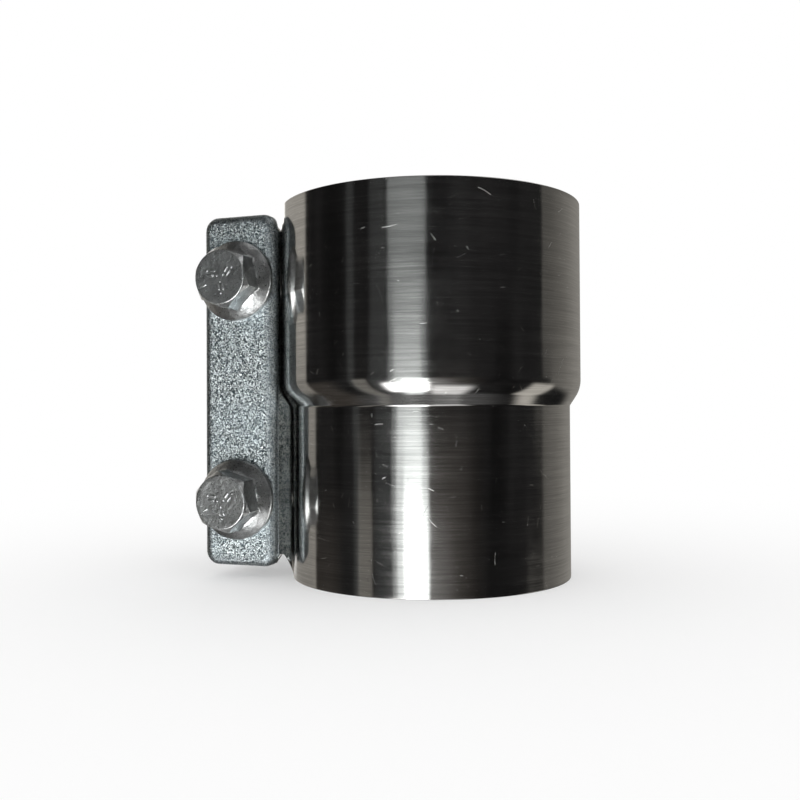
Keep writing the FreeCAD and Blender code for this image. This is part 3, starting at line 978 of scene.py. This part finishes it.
def sheet_material(name, colour, roughness, lines_depth):
    """Cold-rolled stainless sheet, brushed along its length, with handling marks and streaks whose
    lighter colour is a painted glint.
    """
    graph = Metal(name)
    lay = graph.scaled(graph.node("UVMap", uv_map="lay").outputs[0], PER_METRE)
    fine = graph.noise(graph.placed(lay, (0.06, 3.0, 1)), 1.0, 3.0, 0.6)
    broad = graph.noise(graph.placed(lay, (0.02, 0.8, 1), 0, 7), 1.0, 3.0, 0.55)
    lines = graph.weighted(fine, 0.6, broad)
    streaks = graph.noise(graph.placed(lay, (0.14, 5.0, 1), 1.5, 19), 1.0, 1.0, 0.5)
    streaks = graph.remap(streaks, 0.7, 0.78)
    marks = scratches(graph, lay, 5.0, 0.22, 0.075, 11)
    for size, share, width, shift in ((9.0, 0.3, 0.07, 23), (2.6, 0.14, 0.08, 41)):
        more = scratches(graph, lay, size, share, width, shift)
        marks = graph.math("MAXIMUM", marks, more)
    off_rim = graph.math("SUBTRACT", 1.0, graph.rounded_edge(), clamp=True)
    marks = graph.times(marks, off_rim)
    pits = graph.remap(graph.noise(graph.placed(lay, (1.1, 1.5, 1), 0, 31), 1.0), 0.74, 0.8)
    smudge = graph.noise(graph.placed(lay, (0.045, 0.08, 1), 12, 5), 1.0, 4.0, 0.6)
    tint = graph.remap(lines, 0.36, 0.64, 0.8, 1.12, smooth=False)
    tint = graph.times(tint, graph.remap(smudge, 0.3, 0.7, 0.93, 1.05, smooth=False))
    base = graph.mix(1.0, (*colour, 1), graph.combine(tint), "MULTIPLY")
    # Painted glint: the scratches and streaks are real marks, lightened in colour to stand in for
    # the light they catch.
    marks_with_painted_glint = graph.times(graph.math("MAXIMUM", marks, streaks), 0.4)
    base = graph.mix(marks_with_painted_glint, base, (0.9, 0.9, 0.89, 1))
    base = graph.mix(graph.times(pits, 0.6), base, SPECK)
    rough = graph.remap(smudge, 0.3, 0.75, roughness - 0.03, roughness + 0.05, smooth=False)
    rounding_or_mark_wear = graph.times(graph.math("MAXIMUM", marks, pits), 0.16)
    rough = graph.math("ADD", rough, rounding_or_mark_wear)
    rough = graph.math("ADD", rough, graph.remap(lines, 0.35, 0.7, -0.015, 0.03, smooth=False))
    graph.shader.inputs["Anisotropic"].default_value = 0.6
    graph.shader.inputs["Anisotropic Rotation"].default_value = 0.25
    tangent = graph.node("Tangent", direction_type="UV_MAP", uv_map="lay")
    graph.feed(graph.shader.inputs["Tangent"], tangent.outputs[0])
    waves = graph.noise(graph.placed(lay, (0.05, 0.035, 1), 0, 9), 1.0, 1.5, 0.45)
    normal = graph.bump(waves, 0.16 * MM)
    normal = graph.bump(lines, lines_depth, normal)
    normal = graph.bump(marks, -0.02 * MM, normal)
    return graph.finished(base, rough, normal)


SPANGLE_TILT = 0.36
DARK_SPANGLE = (0.11, 0.145, 0.165, 1)
BRIGHT_SPANGLE = (0.93, 0.99, 1.0, 1)


def plated_bar_material():
    """Hot-rolled bar with a coarse, spangled zinc plating, and painted shade darkening its rounded
    edges.
    """
    graph = Metal("plated_bar")
    lay = graph.object_place()
    cells = graph.node("TexVoronoi", {"Vector": lay, "Scale": 3.6}).outputs["Color"]
    grain = graph.node("SeparateColor", {0: cells}).outputs[0]
    rounded_edge = graph.rounded_edge()
    tilt = graph.remap(rounded_edge, 0.1, 0.9, SPANGLE_TILT, 0.6 * SPANGLE_TILT)
    facet = graph.scaled(graph.vector("SUBTRACT", cells, (0.5, 0.5, 0.5)), tilt)
    speck = graph.noise(lay, 3.4, 2.0, 0.6)
    clouds = graph.noise(lay, 0.11, 3.0, 0.55)
    mixed = graph.weighted(grain, 0.4, speck)
    base = graph.mix(graph.remap(mixed, 0.43, 0.56, smooth=False), DARK_SPANGLE, BRIGHT_SPANGLE)
    base = graph.mix(graph.remap(clouds, 0.35, 0.7, 0, 0.3), base, (0.55, 0.66, 0.72, 1))
    # Painted shade: the rounded edges are darkened in colour, standing in for the shade where they
    # turn away from the light.
    painted_edge_shade = graph.remap(rounded_edge, 0.1, 0.9, 0, 0.5)
    base = graph.mix(painted_edge_shade, base, (0.27, 0.29, 0.3, 1))
    rough = graph.remap(mixed, 0.3, 0.7, 0.46, 0.3, smooth=False)
    normal = graph.bump(speck, 0.15 * MM)
    normal = graph.bump(clouds, 0.25 * MM, normal)
    tilted = graph.vector("NORMALIZE", graph.vector("ADD", normal, facet))
    return graph.finished(base, rough, tilted)


def plated_steel_material(name, colour, roughness, dent_depth, seed):
    """Smooth bright zinc plating with faint mottling, as on bolts and nuts."""
    graph = Metal(name)
    lay = graph.placed(graph.object_place(), (1, 1, 1), 0, seed)
    speck = graph.noise(lay, 2.6, 4.0, 0.65)
    clouds = graph.noise(lay, 0.3, 3.0, 0.6)
    dents = graph.noise(lay, 0.8, 2.0, 0.5)
    darker = tuple(value * 0.72 for value in colour)
    base = graph.mix(graph.remap(clouds, 0.35, 0.65), (*colour, 1), (*darker, 1))
    base = graph.mix(graph.remap(speck, 0.54, 0.7, 0, 0.6), base, SPECK)
    rough = graph.remap(speck, 0.3, 0.7, roughness - 0.04, roughness + 0.1, smooth=False)
    normal = graph.bump(dents, dent_depth)
    normal = graph.bump(speck, 0.035 * MM, normal)
    return graph.finished(base, rough, normal)


def block_material():
    """Machined aluminium with faint cutter lines."""
    graph = Metal("block_metal")
    lay = graph.object_place()
    lines = graph.noise(graph.placed(lay, (3.2, 3.2, 0.05)), 1.0, 3.0, 0.6)
    clouds = graph.noise(lay, 0.08, 3.0, 0.5)
    share = graph.remap(lines, 0.3, 0.7, smooth=False)
    base = graph.mix(share, (0.66, 0.67, 0.68, 1), (0.8, 0.81, 0.82, 1))
    rough = graph.remap(clouds, 0.3, 0.7, 0.34, 0.46, smooth=False)
    return graph.finished(base, rough, graph.bump(lines, 0.006 * MM))


# ---- studio ----

CAMERA_AZIMUTH = math.radians(16.77)
CAMERA_DISTANCE = 0.273
CAMERA_HEIGHT = 0.0463
CAMERA_YAW = -0.0324
CAMERA_PITCH = 0.0125
CAMERA_ROLL = -0.0055
CAMERA_LENS = 42.68

TOWARDS = Vector((math.sin(CAMERA_AZIMUTH), -math.cos(CAMERA_AZIMUTH), 0))
SIDEWAYS = Vector((math.cos(CAMERA_AZIMUTH), math.sin(CAMERA_AZIMUTH), 0))

# Soft boxes as the object sees them: azimuth from the camera (positive to its right) with the
# softness of each side, elevation with the softness of each end, strength and colour.
WARM = (1.0, 0.955, 0.87)
COOL = (0.95, 1.0, 1.0)
WHITE = (1.0, 1.0, 1.0)
BROWN = (1.0, 0.86, 0.73)
PANELS = [
    # Backdrop behind the clamp, left and right.
    ((-180, -107), (0, 3), (-26, 50), (16, 20), 0.29, WARM),
    ((-180, -107), (0, 3), (2, 50), (8, 20), 0.12, WARM),
    ((118, 180), (62, 0), (-17, 50), (12, 20), 0.17, WARM),
    ((91, 180), (3, 0), (1, 50), (8, 20), 0.09, WARM),
    ((101, 180), (4, 0), (-17, 1), (12, 8), 0.09, WARM),
    # Window and table edge behind it.
    ((-176, -148), (8, 8), (-8, 34), (6, 14), 1.4, WHITE),
    ((-176, -136), (10, 16), (-70, -14), (14, 12), 0.4, WHITE),
    # Key light in front, brighter towards the table.
    ((-31, -3), (2, 3), (-60, 24), (0, 24), 0.26, COOL),
    ((-27, -7), (3, 3), (-60, 3.5), (0, 10), 0.75, COOL),
    ((-21, -2), (3, 3), (-48, -5), (20, 5), 2.2, COOL),
    ((-36, -2), (8, 8), (-48, -18), (7, 8), 3.5, WHITE),
    ((2, 34), (8, 12), (-60, -30), (10, 14), 1.0, WHITE),
    # Spot on the right, and the key light's foot.
    ((84, 108), (8, 8), (-46, -14), (5, 8), 0.6, WARM),
    ((-30, 12), (8, 26), (-52, -7), (20, 12), 0.22, WHITE),
    # Faint strips left of the key light.
    ((-64, -58), (3, 3), (-60, 40), (10, 20), 0.04, COOL),
    ((-60, -48), (3, 2), (-60, -4), (10, 6), 0.2, WARM),
    ((-45, -33), (4, 4), (-60, 50), (10, 20), 0.04, COOL),
    # Faint glow on the right, and low on both sides.
    ((8, 28), (14, 18), (-60, 40), (10, 20), 0.008, COOL),
    ((-4, 30), (4, 36), (-60, -1), (10, 8), 0.045, BROWN),
    ((-112, -80), (6, 20), (-60, -8), (10, 10), 0.045, BROWN),
    # Table, high boxes and ceiling.
    ((-180, 180), (0, 0), (-90, -56), (0, 20), 0.12, WHITE),
    ((-62, 10), (16, 20), (26, 52), (12, 12), 0.13, WHITE),
    ((40, 120), (20, 20), (30, 62), (14, 12), 0.9, WHITE),
    ((-180, 180), (0, 0), (78, 90), (14, 0), 0.7, WHITE),
]
ROOM_SHADE = 0.014
FLOOR_RADIUS = 1.6


def make_world():
    """A plain pale room for the camera, and soft boxes round the object for the light."""
    world = bpy.data.worlds.new("studio")
    bpy.context.scene.world = world
    world.use_nodes = True
    graph = Graph(world.node_tree)
    way = graph.node("TexCoord").outputs["Generated"]

    def along(axis):
        return graph.vector("DOT_PRODUCT", way, tuple(axis), "Value")

    azimuth = graph.math("ARCTAN2", along(SIDEWAYS), along(TOWARDS))
    azimuth = graph.times(azimuth, math.degrees(1))
    elevation = graph.math("ARCSINE", along((0, 0, 1)))
    elevation = graph.times(elevation, math.degrees(1))

    def between(value, span, soft):
        """1 inside the span, with soft edges but none where the angle's range ends."""
        share = 1.0
        for edge, softness, sign in zip(span, soft, (1, -1)):
            if abs(edge) in (90, 180):
                continue
            half = max(softness, 0.5) / 2 * sign
            part = graph.remap(value, edge - half, edge + half)
            share = graph.times(part, share)
        return share

    total = None
    for span, soft, climb, climb_soft, strength, colour in PANELS:
        share = graph.times(between(azimuth, span, soft), between(elevation, climb, climb_soft))
        lit = graph.scaled(colour, graph.times(share, strength))
        total = lit if total is None else graph.vector("ADD", total, lit)
    murk = graph.noise(way, 3.5)
    shade = graph.combine(graph.remap(murk, 0.3, 0.7, ROOM_SHADE * 0.6, ROOM_SHADE * 1.5))
    total = graph.vector("ADD", total, shade)
    room = graph.node("Background", {"Color": total})
    plain = graph.node("Background", {"Color": (1, 1, 1, 1)})
    lights = graph.node("LightPath")
    matt = lights.outputs["Is Diffuse Ray"]
    seen = graph.math("MAXIMUM", lights.outputs["Is Camera Ray"], matt)
    mixed = graph.node("MixShader", {0: seen, 1: room.outputs[0], 2: plain.outputs[0]})
    graph.node("OutputWorld", {0: mixed.outputs[0]})
    world.cycles.sampling_method = "NONE"


def make_floor():
    """A pale disc under the object that fades into the room."""
    bpy.ops.mesh.primitive_circle_add(vertices=96, radius=FLOOR_RADIUS, fill_type="NGON")
    floor = bpy.context.object
    floor.name = "studio_floor"
    floor.location = (0, 0, -0.02 * MM)
    material = bpy.data.materials.new("studio_floor")
    material.use_nodes = True
    graph = Graph(material.node_tree)
    place = graph.node("TexCoord").outputs["Object"]
    away = graph.vector("LENGTH", place, output="Value")
    fade = graph.remap(away, 0.06, 0.3, 0.35, 1.0)
    matt = graph.node("BsdfDiffuse", {"Color": (0.97, 0.97, 0.97, 1)})
    glow = graph.node("Emission", {"Color": (1, 1, 1, 1)})
    mixed = graph.node("MixShader", {0: fade, 1: matt.outputs[0], 2: glow.outputs[0]})
    graph.node("OutputMaterial", {0: mixed.outputs[0]})
    floor.data.materials.append(material)
    floor.visible_glossy = False


def make_camera():
    data = bpy.data.cameras.new("main_camera")
    data.lens = CAMERA_LENS
    data.clip_start = 0.01
    camera = bpy.data.objects.new("main_camera", data)
    bpy.context.scene.collection.objects.link(camera)
    forward = -TOWARDS
    right = SIDEWAYS.copy()
    up = Vector((0, 0, 1))
    forward, right = turned(forward, right, CAMERA_YAW)
    forward, up = turned(forward, up, CAMERA_PITCH)
    right, up = turned(right, up, CAMERA_ROLL)
    place = TOWARDS * CAMERA_DISTANCE + Vector((0, 0, CAMERA_HEIGHT))
    axes = Matrix((right, up, -forward)).transposed()
    camera.matrix_world = Matrix.Translation(place) @ axes.to_4x4()
    bpy.context.scene.camera = camera


def turned(first, second, angle):
    """Both axes turned by the angle, the first towards the second."""
    cosine = math.cos(angle)
    sine = math.sin(angle)
    return first * cosine + second * sine, second * cosine - first * sine


def main():
    sheet = sheet_material("stainless_sheet", (0.62, 0.61, 0.595), 0.115, 0.004 * MM)
    liner = sheet_material("strip_sheet", (0.56, 0.55, 0.53), 0.26, 0.008 * MM)
    make_band(sheet)
    make_strip(liner)
    bar = plated_bar_material()
    make_bar("bolt_side_bar", -1, "bolt_jaw", bar)
    make_bar("nut_side_bar", 1, "nut_jaw", bar)
    bolt = plated_steel_material("plated_bolt", (0.8, 0.81, 0.81), 0.28, 0.11 * MM, 2)
    nut = plated_steel_material("plated_nut", (0.54, 0.55, 0.55), 0.26, 0.07 * MM, 31)
    make_bolt("upper_bolt", "upper_bolt", bolt)
    make_bolt("lower_bolt", "lower_bolt", bolt)
    make_nut("upper_nut", nut)
    make_nut("lower_nut", nut)
    dress_block(block_material())
    make_world()
    make_floor()
    make_camera()
    bpy.context.scene.view_settings.view_transform = "Standard"


main()
